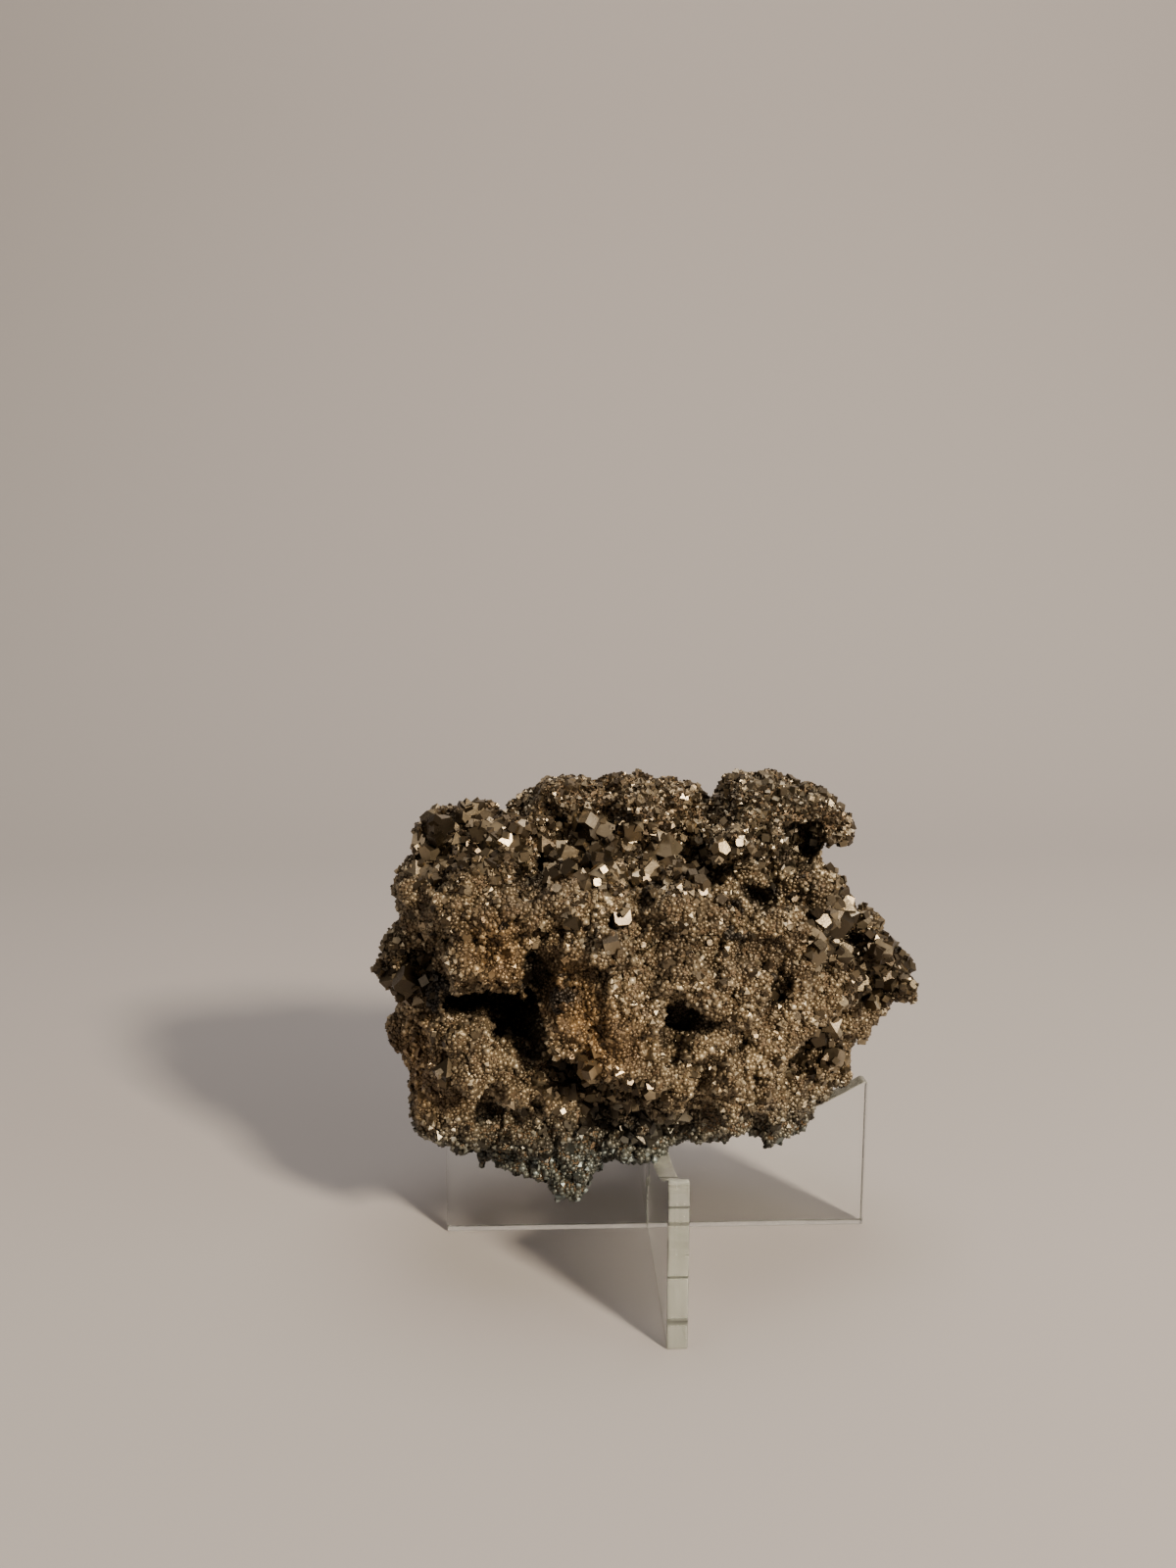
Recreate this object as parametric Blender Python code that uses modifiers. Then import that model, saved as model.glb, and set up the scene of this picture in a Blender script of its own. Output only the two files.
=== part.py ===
"""A pyrite cluster at rest in a clear display stand.

The stand is two acrylic plates that cross at half-height slots. Their concave top edges make a cradle, and
the rock lies in it. The rock is one solid: big lumps run together, pits sunk between them, a knobbly crust,
and flat-faced crystals grown out of it.

Frame: metres, +Z up, origin on the floor where the plates cross, +X along the plate that faces the front,
+Y away from the front.
"""

import itertools
import math
import random

import bmesh
import bpy
from mathutils import Euler, Matrix, Vector, noise
from mathutils.bvhtree import BVHTree

MM = 0.001
GAP = 0.3 * MM  # air kept between pieces that touch
WELD = 0.001 * MM  # points closer than this are one

# Stand: both plates have the same outline.
PLATE_THICKNESS = 3.2 * MM
PLATE_LENGTH = 74.0 * MM
PLATE_END_HEIGHT = 27.4 * MM
PLATE_MIDDLE_HEIGHT = 16.3 * MM
TIP_RADIUS = 0.8 * MM
ARC_STEPS = 24  # straight runs along the concave edge
ARC_SAG = PLATE_END_HEIGHT - PLATE_MIDDLE_HEIGHT
ARC_RADIUS = ((PLATE_LENGTH / 2) ** 2 + ARC_SAG**2) / (2 * ARC_SAG)
SLOT_WIDTH = PLATE_THICKNESS + 2 * GAP

# Rock: its lumps, as centre x, y, z and half width, depth and height in millimetres.
LUMPS = (
    # the heart of the cluster
    ((-3, 3, 46), (33, 25, 26)),
    ((-24, 2, 47), (19, 23, 25)),
    ((16, 3, 46), (19, 23, 23)),
    # left side, from the top down
    ((-35.6, 3, 70.6), (6, 9, 5.5)),
    ((-38.2, 0, 61), (8, 14, 7.5)),
    ((-40, 1, 51), (7.5, 13, 7)),
    ((-38, -1, 40), (8, 13, 10)),
    ((-36, -8, 28.5), (7.5, 10, 8.5)),
    # front, upper left mass
    ((-32, -10, 62), (7, 12, 8)),
    ((-24, -13, 60), (7, 12, 8)),
    ((-28, -13, 54.5), (9, 12, 5)),
    # front, lower left mass and the small lumps under it
    ((-31, -12, 38.5), (9, 12, 6.6)),
    ((-24, -13, 34.5), (6, 11, 4.5)),
    ((-19, -11, 31.5), (6, 11, 4.5)),
    ((-33, -9, 29), (5.5, 10, 5.5)),
    ((-26, -8, 26.5), (4, 9, 3)),
    # bottom, from the left
    ((-30, -8, 24.5), (10.5, 10, 6.3)),
    ((-27.5, -10, 18.8), (4.5, 5, 3.2)),
    ((-19, -7, 23), (9, 11, 6.5)),
    ((-16.5, -9.5, 17.6), (6.8, 8, 5)),
    ((-6, -5, 22), (9, 11, 6.5)),
    ((-5, -9, 27), (5, 10, 3.5)),
    ((8, -4, 26), (10, 13, 7.2)),
    ((18, -4, 27), (9, 12, 8)),
    ((22, -6, 24.5), (4.5, 7, 4.5)),
    ((26.3, -2, 32), (6.3, 11, 7)),
    ((27, 1, 27.5), (4.5, 6, 5.5)),
    # front, middle: upright rib, the lumps beside and under it, and the brow
    ((-16.8, -17, 52.5), (2.5, 11, 8)),
    ((-16.8, -15.5, 46.5), (3.2, 11.5, 5)),
    ((-15.5, -16, 43.5), (4.6, 11, 3.5)),
    ((-13.3, -14.5, 49.5), (3, 11, 6)),
    ((-7.5, -18, 48), (6.5, 11, 6)),
    ((-3.3, -16.5, 47), (4, 11, 5)),
    ((-8.5, -16, 57), (7, 12, 4)),
    ((-10, -15, 41), (8, 12, 5)),
    ((-4, -14, 38.5), (6, 12, 5)),
    ((-14, -13, 64), (9, 12, 6)),
    ((0, -14, 63), (8, 12, 6)),
    ((0.5, -15.5, 55), (7, 12, 6)),
    ((10, -12, 59.5), (6, 11.5, 5.5)),
    # front, right mass
    ((9, -14, 50), (8, 12, 8)),
    ((3.5, -14, 42), (5, 12, 5)),
    ((11, -12.5, 38.5), (8.5, 11.5, 10)),
    ((1.5, -12, 33), (6, 11, 6)),
    ((12.5, -10, 31), (8, 11, 5)),
    ((23, -4, 30), (5, 10, 5)),
    ((18, -9, 58), (7, 11, 5)),
    ((26, -5, 48), (8, 12, 7)),
    # right side, with the point and the step above it
    ((29, 1, 45), (9, 12, 9)),
    ((33.5, 0, 40.5), (6.8, 9, 6)),
    ((37, 1, 47), (6, 9, 6.5)),
    ((41, 1, 44.5), (4.5, 6, 3.5)),
    ((35, -1, 53), (4.5, 8, 4)),
    ((36.3, 0, 56), (2.3, 5, 2.3)),
    # upper right: the third knob, the nose and the lumps under them
    ((17.5, 0, 74), (8.5, 11, 7.5)),
    ((12.3, 0, 78.3), (3.5, 7, 3.8)),
    ((23.5, 1, 75), (5.5, 9, 5.5)),
    ((11.5, -7, 70.5), (5.5, 10, 5)),
    ((23, -3, 63.5), (7.5, 11, 4.5)),
    ((27, -1, 60), (5.5, 10, 5)),
    ((29, 0, 71.5), (4.5, 7, 3.8)),
    # top: the first and second knob, and the edge left of them
    ((-15, 1, 76.5), (6.2, 9, 5.3)),
    ((-4, 1, 75), (7.5, 12, 6.5)),
    ((2.6, 2, 75.8), (4.8, 9, 5.8)),
    ((-29, 3, 71), (8, 11, 5)),
    ((-22.5, 2, 70.5), (7, 11, 6.8)),
    ((-28, -6, 67.5), (9, 10, 4)),
    ((-10, -6, 68), (9, 10, 4)),
    # back
    ((-22, 13, 56), (14, 14, 12)),
    ((8, 14, 58), (16, 14, 11)),
    ((-6, 16, 40), (17, 13, 12)),
    ((22, 12, 42), (14, 13, 11)),
    ((-28, 11, 37), (12, 13, 11)),
    ((14, 8, 67), (13, 12, 9.5)),
    ((-8, 9, 68), (14, 12, 9)),
    ((-26, 9, 64), (12, 12, 9.5)),
    ((6, 14, 29), (13, 11, 10)),
    ((-12, 12, 28), (13, 12, 9)),
    ((0, 17, 24), (6, 7, 6)),
)
# Deep pits and notches, in the same form.
PITS = (
    # the great hollow
    ((-29, -10, 46.8), (7, 15, 3.5)),
    ((-24, -11, 44.8), (5.6, 15, 5)),
    # notches in the outline: on the left, and left of the third knob
    ((-44.5, 0, 67), (3, 14, 2)),
    ((8.6, 0, 81.4), (1.9, 15, 5.6)),
    # back
    ((-10, 28, 58), (5, 8, 3)),
    ((14, 28, 50), (4, 9, 6)),
    ((-26, 25, 46), (6, 9, 3.5)),
    ((0, 30, 44), (2, 8, 7)),
    ((32, 15, 42), (4, 7, 3)),
)
# Shallower pits on the front: x, z, half width, half height and depth in millimetres. Each is made of a few
# lobes, which keeps its rim ragged.
FRONT_PITS = (
    # the hollow's tail down to the right, and the crevice up along the rib
    (-21.4, 42, 2.7, 4, 8),
    (-20.4, 38.8, 2.6, 2.4, 5),
    (-20.6, 54, 1.7, 8.5, 4),
    (-23.8, 58.5, 1.8, 4.8, 2.4),
    # around the middle
    (-13.3, 47.6, 1.4, 2.6, 2),
    (-12.8, 51.6, 2.2, 1.2, 1.8),
    (3.6, 45.9, 3.2, 1.7, 3.6),
    (1.1, 43, 1.7, 3, 3.8),
    (0.3, 39.5, 1.2, 3.2, 2),
    (6.4, 55.7, 1.8, 2.1, 2.6),
    (6, 53.3, 1.3, 1, 1.6),
    (-4.3, 65.7, 1.2, 1.8, 1.8),
    (-2.6, 63.4, 1.1, 1.8, 1.8),
    (-15.5, 35.5, 4, 2, 2.8),
    # among the knobs
    (-18.7, 75.2, 2.1, 2.5, 3.2),
    (-8.5, 75.5, 1.6, 2.8, 3),
    (6.3, 68.3, 2.7, 3, 4.4),
    (13.3, 62.6, 4.2, 2.6, 4),
    (22.8, 70, 3, 3.8, 5),
    # left and right sides
    (-41.3, 51.9, 3, 2.8, 3.6),
    (30.5, 54.4, 3.8, 2.8, 3.4),
    (18, 49, 1.4, 3.4, 1.8),
    (25.4, 38.2, 4.6, 4.2, 4.6),
    # low
    (-6.2, 27.6, 4.8, 2, 3.8),
    (-13.8, 22.8, 1.8, 2.3, 1.9),
    (15, 25.2, 1.9, 1.9, 1.7),
    (-28.8, 27.9, 2.4, 2, 2.8),
    (-30, 23.4, 2.1, 1.8, 1.8),
    (-21.5, 31.2, 2.4, 1.6, 1.8),
)
PIT_LOBES = 4
LOBE_SHIFT = (-0.5, 0.5)  # how far a lobe lies off the pit's middle, beside the pit's half size
LOBE_SIZES = (0.55, 0.95)  # beside the pit
SKIN_VOXEL = 0.9 * MM
PIT_VOXEL = 0.6 * MM
KNOBS = ((9.0 * MM, 2.6 * MM), (4.5 * MM, 1.8 * MM))  # spacing and height of the crust's knobs
ROUGH_SIZE = 5.0 * MM
ROUGH_HEIGHT = 1.3 * MM
HANG_SLOPE = 1.4  # how fast the underside may drop on either side of a plate
ROCK_TRIANGLES = 5600  # before the crystals are joined on

# Large crystals on the front: habit, x, z and half size in millimetres. They grow where a line from the
# front at x, z meets the crust.
FRONT_CRYSTALS = (
    # ledge under the knobs
    ("octahedron", 1.0, 71.0, 2.2),
    ("cut cube", -11.5, 73.5, 1.9),
    ("pyritohedron", -10.5, 69.5, 1.6),
    ("cube", -6.0, 71.0, 1.3),
    ("pyritohedron", 4.5, 67.5, 1.3),
    ("octahedron", -19.5, 70.5, 1.4),
    ("cube", -15.5, 69.0, 1.2),
    # upper left edge
    ("cut cube", -32.0, 75.0, 1.8),
    ("cut cube", -37.0, 73.0, 1.8),
    ("pyritohedron", -38.5, 69.0, 1.6),
    ("cube", -34.5, 69.5, 1.4),
    ("cube", -28.0, 71.0, 1.3),
    ("pyritohedron", -24.0, 69.0, 1.3),
    # brow
    ("pyritohedron", -7.5, 63.5, 1.4),
    ("cube", -9.5, 60.0, 1.2),
    ("octahedron", -15.0, 62.5, 1.3),
    # band across the right
    ("pyritohedron", 25.0, 59.0, 1.6),
    ("cut cube", 28.5, 58.5, 1.9),
    ("cube", 23.0, 55.0, 1.4),
    ("octahedron", 29.5, 52.5, 1.4),
    ("cube", 17.5, 47.5, 1.1),
    # right point
    ("cut cube", 37.0, 52.5, 1.4),
    ("pyritohedron", 41.0, 49.5, 1.4),
    ("cube", 34.5, 45.0, 1.3),
    # lower right hollow
    ("pyritohedron", 26.0, 38.5, 1.8),
    # left side and low on the front
    ("cut cube", -42.0, 49.5, 1.6),
    ("octahedron", -35.0, 37.5, 1.6),
    ("cube", -12.5, 39.0, 1.4),
    ("octahedron", -7.5, 36.0, 1.4),
)
# More crystals all over, set at random places.
SCATTERED_CRYSTALS = 40
SCATTER_SIZES = (1.0 * MM, 1.9 * MM)
SUNK_SHARE = 0.25  # how far a crystal's middle lies under the crust, in half sizes
SEED = 11


def clear_scene():
    """Removes whatever the file holds."""
    for old in list(bpy.data.objects):
        bpy.data.objects.remove(old, do_unlink=True)


def new_collection(name):
    """Makes a collection in the scene."""
    collection = bpy.data.collections.new(name)
    bpy.context.scene.collection.children.link(collection)
    return collection


def material(name, colour, roughness, metallic, transmission=0.0):
    """Makes a Principled material."""
    made = bpy.data.materials.new(name)
    made.use_nodes = True
    shader = made.node_tree.nodes["Principled BSDF"]
    shader.inputs["Base Color"].default_value = (*colour, 1.0)
    shader.inputs["Roughness"].default_value = roughness
    shader.inputs["Metallic"].default_value = metallic
    shader.inputs["Transmission Weight"].default_value = transmission
    return made


def object_from(name, bm, collection):
    """Makes an object of a bmesh and frees the bmesh."""
    mesh = bpy.data.meshes.new(name)
    bm.to_mesh(mesh)
    bm.free()
    obj = bpy.data.objects.new(name, mesh)
    collection.objects.link(obj)
    return obj


def hide_helper(obj):
    """Marks an object as a cutter or a guide, which is not part of the model."""
    obj.hide_render = True
    obj.display_type = "WIRE"


def apply_modifiers(obj):
    """Gives the object its evaluated mesh, so that the next stage works on real vertices."""
    graph = bpy.context.evaluated_depsgraph_get()
    mesh = bpy.data.meshes.new_from_object(obj.evaluated_get(graph))
    obj.modifiers.clear()
    obj.data = mesh


# ---- The stand ----


def arc_height(along):
    """Height of a plate's concave edge at a distance from the crossing."""
    return PLATE_MIDDLE_HEIGHT + ARC_RADIUS - math.sqrt(ARC_RADIUS**2 - along**2)


def plate_outline(slot_at_top, grow=0.0):
    """Outline of a plate as x, z points, counter-clockwise from its lower left corner. A positive grow lifts
    the concave edge, for the cutter that keeps the rock clear."""
    half = PLATE_LENGTH / 2
    slot = SLOT_WIDTH / 2
    middle = PLATE_MIDDLE_HEIGHT / 2
    points = [(-half, 0.0)]
    if not slot_at_top:
        points += [(-slot, 0.0), (-slot, middle + GAP / 2), (slot, middle + GAP / 2), (slot, 0.0)]
    points.append((half, 0.0))
    points += [(half, PLATE_END_HEIGHT - TIP_RADIUS), (half - TIP_RADIUS, arc_height(half - TIP_RADIUS))]
    reach = half - 2 * TIP_RADIUS
    edge = [reach - 2 * reach * step / ARC_STEPS for step in range(ARC_STEPS + 1)]
    if slot_at_top:
        floor = middle - GAP / 2
        points += [(x, arc_height(x)) for x in edge if x > slot]
        points += [(slot, arc_height(slot)), (slot, floor), (-slot, floor), (-slot, arc_height(slot))]
        points += [(x, arc_height(x)) for x in edge if x < -slot]
    else:
        points += [(x, arc_height(x) + grow) for x in edge]
    points += [(TIP_RADIUS - half, arc_height(half - TIP_RADIUS)), (-half, PLATE_END_HEIGHT - TIP_RADIUS)]
    return points


def build_plate(name, collection, slot_at_top, turn, thickness=PLATE_THICKNESS, grow=0.0):
    """One plate: its outline filled and extruded, stood upright and turned about Z."""
    curve = bpy.data.curves.new(name, "CURVE")
    curve.dimensions = "2D"
    curve.fill_mode = "BOTH"
    curve.extrude = thickness / 2
    points = plate_outline(slot_at_top, grow)
    spline = curve.splines.new("POLY")
    spline.points.add(len(points) - 1)
    for point, (x, z) in zip(spline.points, points):
        point.co = (x, z, 0.0, 1.0)
    spline.use_cyclic_u = True
    plate = bpy.data.objects.new(name, curve)
    plate.rotation_euler = (math.pi / 2, 0.0, turn)
    collection.objects.link(plate)
    return plate


def plate_room(collection, turn):
    """A cutter for the space that a plate and the air around it take up."""
    curve = build_plate("plate_room", collection, False, turn, PLATE_THICKNESS + 2 * GAP, GAP)
    graph = bpy.context.evaluated_depsgraph_get()
    bm = bmesh.new()
    bm.from_mesh(bpy.data.meshes.new_from_object(curve.evaluated_get(graph)))
    bmesh.ops.remove_doubles(bm, verts=bm.verts, dist=WELD)
    bmesh.ops.transform(bm, matrix=curve.matrix_world, verts=bm.verts)
    bpy.data.objects.remove(curve)
    return object_from("plate_room", bm, collection)


# ---- The rock ----


def ellipsoids(name, rows, collection):
    """One object of many ellipsoids that overlap, given as centre and half sizes in millimetres."""
    bm = bmesh.new()
    for centre, halves in rows:
        place = Matrix.LocRotScale(Vector(centre) * MM, None, Vector(halves) * MM)
        bmesh.ops.create_icosphere(bm, subdivisions=4, radius=1.0, matrix=place)
    return object_from(name, bm, collection)


def surface_tree(obj):
    """A search tree of the object's surface."""
    mesh = obj.data
    faces = [face.vertices for face in mesh.polygons]
    return BVHTree.FromPolygons([vert.co for vert in mesh.vertices], faces)


def seen_from_front(tree, x, z):
    """Where a line from the front at x, z in millimetres meets the surface, and the normal there."""
    hit, normal, _, _ = tree.ray_cast(Vector((x, -80, z)) * MM, Vector((0, 1, 0)))
    return hit, normal


def seat_pits(rock):
    """The lobes of the front pits, centred on the rock's surface: centre and half sizes in millimetres."""
    random.seed(SEED)
    tree = surface_tree(rock)
    rows = []
    for x, z, half_width, half_height, depth in FRONT_PITS:
        for _ in range(PIT_LOBES):
            lobe_x = x + random.uniform(*LOBE_SHIFT) * half_width
            lobe_z = z + random.uniform(*LOBE_SHIFT) * half_height
            share = random.uniform(*LOBE_SIZES)
            hit, _ = seen_from_front(tree, lobe_x, lobe_z)
            if hit is not None:
                rows.append((hit / MM, (share * half_width, depth, share * half_height)))
    return rows


def remesh(obj, voxel):
    """Runs overlapping bodies together in one even skin."""
    modifier = obj.modifiers.new("Skin", "REMESH")
    modifier.mode = "VOXEL"
    modifier.voxel_size = voxel
    apply_modifiers(obj)


def boolean(obj, operation, other, overlapping=False):
    """Joins or cuts the object with another; overlapping is for an operand whose bodies cross."""
    modifier = obj.modifiers.new(operation, "BOOLEAN")
    modifier.operation = operation
    modifier.solver = "EXACT"
    modifier.object = other
    modifier.use_self = overlapping
    apply_modifiers(obj)


def keep_largest_body(obj):
    """Removes chips and sealed pockets that a cut has left."""
    bm = bmesh.new()
    bm.from_mesh(obj.data)
    unseen = set(bm.verts)
    bodies = []
    while unseen:
        edge_of_body = [unseen.pop()]
        body = set(edge_of_body)
        while edge_of_body:
            vert = edge_of_body.pop()
            for edge in vert.link_edges:
                other = edge.other_vert(vert)
                if other in unseen:
                    unseen.discard(other)
                    body.add(other)
                    edge_of_body.append(other)
        bodies.append(body)
    bodies.sort(key=len)
    loose = [vert for body in bodies[:-1] for vert in body]
    bmesh.ops.delete(bm, geom=loose, context="VERTS")
    bm.to_mesh(obj.data)
    bm.free()


def crust(point):
    """How far the crust stands out at a point: round knobs with creases between them, and roughness."""
    height = ROUGH_HEIGHT * noise.fractal(point / ROUGH_SIZE, 0.8, 2.0, 3)
    for spacing, rise in KNOBS:
        height += rise * (0.45 - noise.voronoi(point / spacing)[0][0])
    return height


def lowest_height(x, y):
    """How low the rock may hang at x, y: just clear of the plates' edges, and lower beside them."""
    lowest = 0.0
    for along, across in ((x, y), (y, x)):
        if abs(along) < PLATE_LENGTH / 2:
            beside = max(0.0, abs(across) - PLATE_THICKNESS / 2 - GAP)
            lowest = max(lowest, arc_height(along) + GAP - HANG_SLOPE * beside)
    return lowest


def roughen(mesh):
    """Raises the crust, and keeps the underside off the plates."""
    moved = [vert.co + vert.normal * crust(vert.co) for vert in mesh.vertices]
    for vert, place in zip(mesh.vertices, moved):
        place.z = max(place.z, lowest_height(place.x, place.y))
        vert.co = place
    mesh.update()


def decimate(obj, triangles):
    """Thins the mesh to about this many triangles."""
    held = sum(len(face.vertices) - 2 for face in obj.data.polygons)
    modifier = obj.modifiers.new("Thin", "DECIMATE")
    modifier.ratio = triangles / held
    apply_modifiers(obj)


def habit_points(habit):
    """Corners of a crystal form of half size 1."""
    signs = list(itertools.product((-1, 1), repeat=3))
    corners = {
        "cube": [(1, 1, 1)],
        "cut cube": [(1, 1, 0.45), (1, 0.45, 1), (0.45, 1, 1)],
        "octahedron": [(1.5, 0, 0), (0, 1.5, 0), (0, 0, 1.5)],
        "pyritohedron": [(0.8, 0.8, 0.8), (0, 1.2, 0.6), (0.6, 0, 1.2), (1.2, 0.6, 0)],
    }[habit]
    return sorted({tuple(c * s for c, s in zip(corner, sign)) for corner in corners for sign in signs})


def add_crystal(bm, habit, centre, half_size, turn):
    """Adds one crystal as the hull of its corners."""
    place = Matrix.LocRotScale(centre, turn, Vector((half_size, half_size, half_size)))
    verts = [bm.verts.new(place @ Vector(point)) for point in habit_points(habit)]
    bmesh.ops.convex_hull(bm, input=verts)


def build_crystals(rock, collection):
    """The large crystals, each sunk a little in the crust and turned its own way."""
    random.seed(SEED)
    tree = surface_tree(rock)
    bm = bmesh.new()
    for habit, x, z, half_size in FRONT_CRYSTALS:
        hit, normal = seen_from_front(tree, x, z)
        if hit is not None:
            turn = Euler([random.uniform(0, math.tau) for _ in range(3)])
            centre = hit - normal * SUNK_SHARE * half_size * MM
            add_crystal(bm, habit, centre, half_size * MM, turn)
    faces = rock.data.polygons
    picked = random.choices(faces, weights=[face.area for face in faces], k=SCATTERED_CRYSTALS)
    for face in picked:
        half_size = random.uniform(*SCATTER_SIZES)
        habit = random.choice(("pyritohedron", "cube", "octahedron"))
        turn = Euler([random.uniform(0, math.tau) for _ in range(3)])
        centre = face.center - face.normal * SUNK_SHARE * half_size
        add_crystal(bm, habit, centre, half_size, turn)
    bmesh.ops.recalc_face_normals(bm, faces=bm.faces)
    return object_from("large_crystals", bm, collection)


def build_rock(collection, helpers):
    """The pyrite cluster, as one closed body."""
    rock = ellipsoids("pyrite_cluster", LUMPS, collection)
    remesh(rock, SKIN_VOXEL)
    roughen(rock.data)
    remesh(rock, SKIN_VOXEL)
    pits = ellipsoids("pits", [*PITS, *seat_pits(rock)], helpers)
    remesh(pits, PIT_VOXEL)
    boolean(rock, "DIFFERENCE", pits)
    remesh(rock, SKIN_VOXEL)
    keep_largest_body(rock)
    decimate(rock, ROCK_TRIANGLES)
    crystals = build_crystals(rock, helpers)
    boolean(rock, "UNION", crystals, overlapping=True)
    rooms = [plate_room(helpers, turn) for turn in (0.0, math.pi / 2)]
    for room in rooms:
        boolean(rock, "DIFFERENCE", room)
    keep_largest_body(rock)
    for helper in (pits, crystals, *rooms):
        hide_helper(helper)
    return rock


def main():
    clear_scene()
    model = new_collection("pyrite_on_stand")
    helpers = new_collection("helpers")
    acrylic = material("clear_acrylic", (0.93, 0.95, 0.95), 0.05, 0.0, transmission=1.0)
    pyrite = material("pyrite", (0.23, 0.17, 0.11), 0.4, 0.9)
    cross_plate = build_plate("stand_cross_plate", model, True, 0.0)
    depth_plate = build_plate("stand_depth_plate", model, False, math.pi / 2)
    for plate in (cross_plate, depth_plate):
        plate.data.materials.append(acrylic)
    rock = build_rock(model, helpers)
    rock.data.materials.clear()
    rock.data.materials.append(pyrite)


main()
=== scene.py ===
"""A pyrite cluster at rest in a clear display stand: two acrylic plates that cross at half-height slots.

The rock is built from the inside out: its stony crust, the large crystals that stand out of it, and then
the coarse and fine crystals that cover it.
"""

import itertools
import math
import random

import bmesh
import bpy
from mathutils import Euler, Matrix, Vector, noise
from mathutils.bvhtree import BVHTree


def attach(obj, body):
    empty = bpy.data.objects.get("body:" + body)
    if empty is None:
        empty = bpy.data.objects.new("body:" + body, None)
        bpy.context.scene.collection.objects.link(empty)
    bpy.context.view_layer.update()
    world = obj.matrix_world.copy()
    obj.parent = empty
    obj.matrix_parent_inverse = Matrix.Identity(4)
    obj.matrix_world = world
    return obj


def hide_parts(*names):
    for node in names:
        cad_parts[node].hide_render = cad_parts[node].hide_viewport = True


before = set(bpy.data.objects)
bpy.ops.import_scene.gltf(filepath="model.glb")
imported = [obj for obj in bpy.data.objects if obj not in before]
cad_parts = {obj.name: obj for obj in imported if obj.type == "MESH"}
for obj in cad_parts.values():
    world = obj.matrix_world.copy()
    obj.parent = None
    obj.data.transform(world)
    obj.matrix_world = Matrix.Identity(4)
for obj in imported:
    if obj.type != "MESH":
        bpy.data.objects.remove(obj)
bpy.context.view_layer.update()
MM = 0.001

# ---- The camera ----
# A wide lens held close to the rock, a little above it and to the left of its middle, so that the stand is
# seen in strong perspective.

CAMERA_PLACE = (-19.1 * MM, -206.7 * MM, 113.7 * MM)
CAMERA_DOWN = math.radians(9.32)
CAMERA_RIGHT = math.radians(1.94)
CAMERA_LENS = 28.6  # for a sensor 36 wide
CAMERA_NEAREST = 10 * MM

camera_data = bpy.data.cameras.new("camera")
camera_data.lens = CAMERA_LENS
camera_data.sensor_width = 36.0
camera_data.clip_start = CAMERA_NEAREST
camera = bpy.data.objects.new("camera", camera_data)
camera.location = CAMERA_PLACE
camera.rotation_euler = (math.pi / 2 - CAMERA_DOWN, 0.0, -CAMERA_RIGHT)
bpy.context.scene.collection.objects.link(camera)
bpy.context.scene.camera = camera


# ---- The studio ----
# A pale sweep of paper that runs under the stand and up behind it, a small warm key light high on the front
# right, weak soft panels on both sides and one overhead.


def new_object(name, bm):
    """Makes an object of a bmesh and frees the bmesh."""
    mesh = bpy.data.meshes.new(name)
    bm.to_mesh(mesh)
    bm.free()
    obj = bpy.data.objects.new(name, mesh)
    bpy.context.scene.collection.objects.link(obj)
    return obj


class Value:
    """A socket of a finish's shader tree. Arithmetic on it adds Math nodes."""

    def __init__(self, finish, socket):
        self.finish = finish
        self.socket = socket

    def maths(self, operation, first, second):
        return self.finish.add("ShaderNodeMath", {"operation": operation}, {0: first, 1: second})

    def __add__(self, other):
        return self.maths("ADD", self, other)

    def __sub__(self, other):
        return self.maths("SUBTRACT", self, other)

    def __rsub__(self, other):
        return self.maths("SUBTRACT", other, self)

    def __mul__(self, other):
        return self.maths("MULTIPLY", self, other)

    def __pow__(self, other):
        return self.maths("POWER", self, other)

    __radd__ = __add__
    __rmul__ = __mul__


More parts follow.
